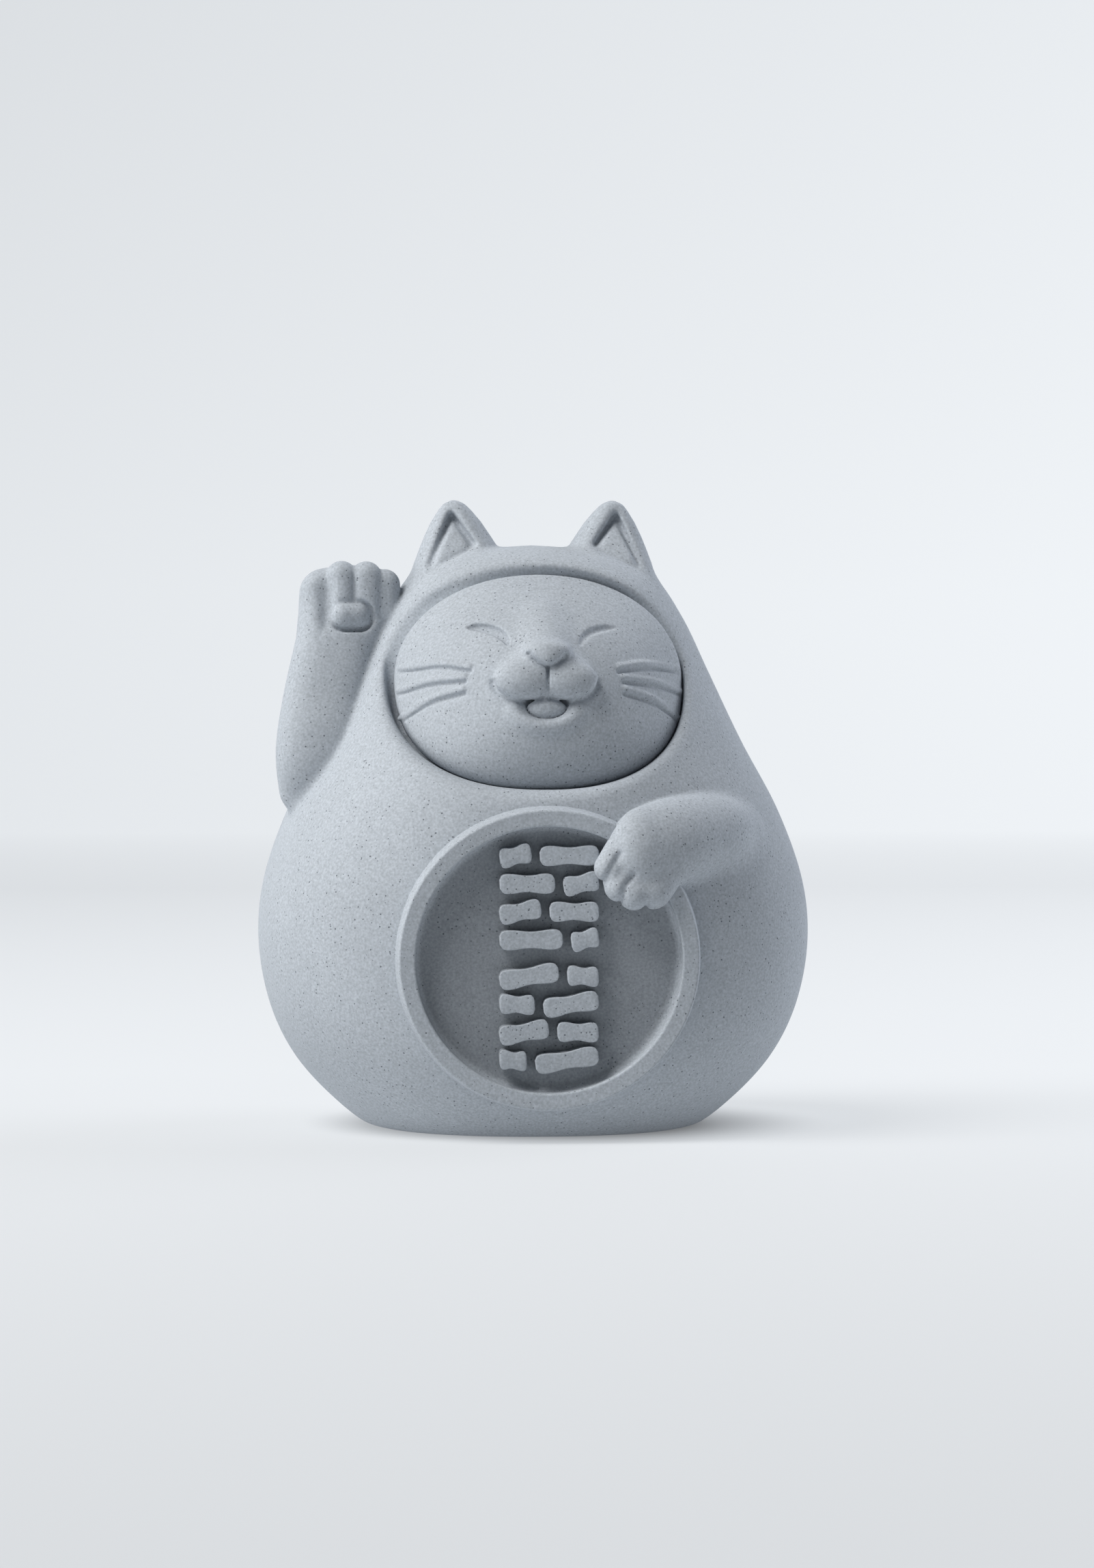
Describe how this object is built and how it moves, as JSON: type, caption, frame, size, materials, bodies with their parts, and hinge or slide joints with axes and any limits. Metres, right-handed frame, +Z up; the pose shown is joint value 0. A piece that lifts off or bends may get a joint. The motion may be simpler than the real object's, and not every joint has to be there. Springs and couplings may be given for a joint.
{
  "type": "lucky cat figurine",
  "caption": "Pear-shaped seated lucky cat cast in grey cement, one paw raised beside the hooded head and the other holding a round coin against the belly.",
  "frame": {"origin": "centre of the flat underside, on the upright axis of the body", "axes": "+Z up along the body, -Y the way the cat looks, +X the cat's left side, which holds the coin"},
  "size_m": [0.08, 0.0768, 0.091],
  "materials": {
    "cement": "matte, fine cast cement with small dark grains and pinholes"
  },
  "bodies": {
    "root": {"lucky_cat": "cement"}
  },
  "joints": []
}
